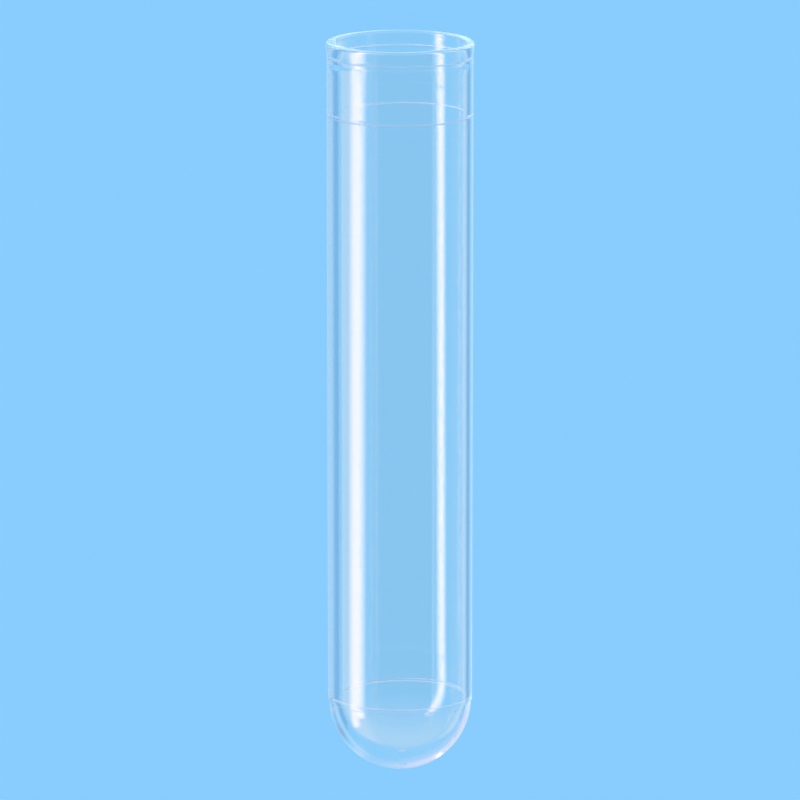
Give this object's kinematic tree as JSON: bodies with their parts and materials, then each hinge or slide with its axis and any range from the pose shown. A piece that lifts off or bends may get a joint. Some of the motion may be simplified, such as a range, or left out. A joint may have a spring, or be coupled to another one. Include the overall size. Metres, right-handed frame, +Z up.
{
  "type": "round-bottom test tube",
  "caption": "Clear moulded plastic test tube: straight round barrel, hemispherical closed bottom, open mouth with a slightly flared lip.",
  "frame": {"origin": "lowest point of the round bottom, on the axis of the outside", "axes": "+Z up along the tube towards the open mouth; +X towards the side where the wall is thinnest; +Y completes the right-handed frame"},
  "size_m": [0.0148, 0.0148, 0.075],
  "materials": {
    "clear_plastic": "clear, colourless, high gloss as moulded"
  },
  "bodies": {
    "root": {"rim_lip": "clear_plastic", "neck_band": "clear_plastic", "barrel": "clear_plastic", "round_bottom": "clear_plastic"}
  },
  "joints": []
}
